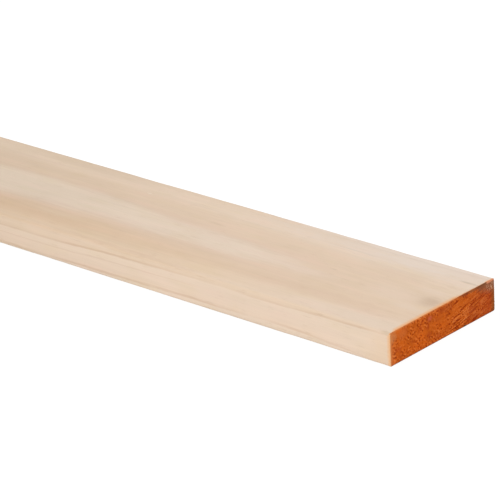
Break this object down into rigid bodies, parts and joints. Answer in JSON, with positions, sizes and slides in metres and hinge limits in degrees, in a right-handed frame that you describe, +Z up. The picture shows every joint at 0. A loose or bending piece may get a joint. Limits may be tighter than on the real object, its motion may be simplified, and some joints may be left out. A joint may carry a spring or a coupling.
{
  "type": "timber lumber plank",
  "caption": "Straight planed softwood board for shelving, trim and light framing, with eased long edges, square crosscut ends and orange end-sealing paint.",
  "frame": {"origin": "middle of the plank's underside, halfway along its length and halfway across its width, on the surface that it lies on", "axes": "+X along the length towards the painted end, +Y across the width away from the long edge that the picture shows, +Z up, out of the face that the picture shows"},
  "size_m": [1.2192, 0.0888, 0.0191],
  "materials": {
    "pine": "planed, bare"
  },
  "bodies": {
    "root": {"plank": "pine"}
  },
  "joints": []
}
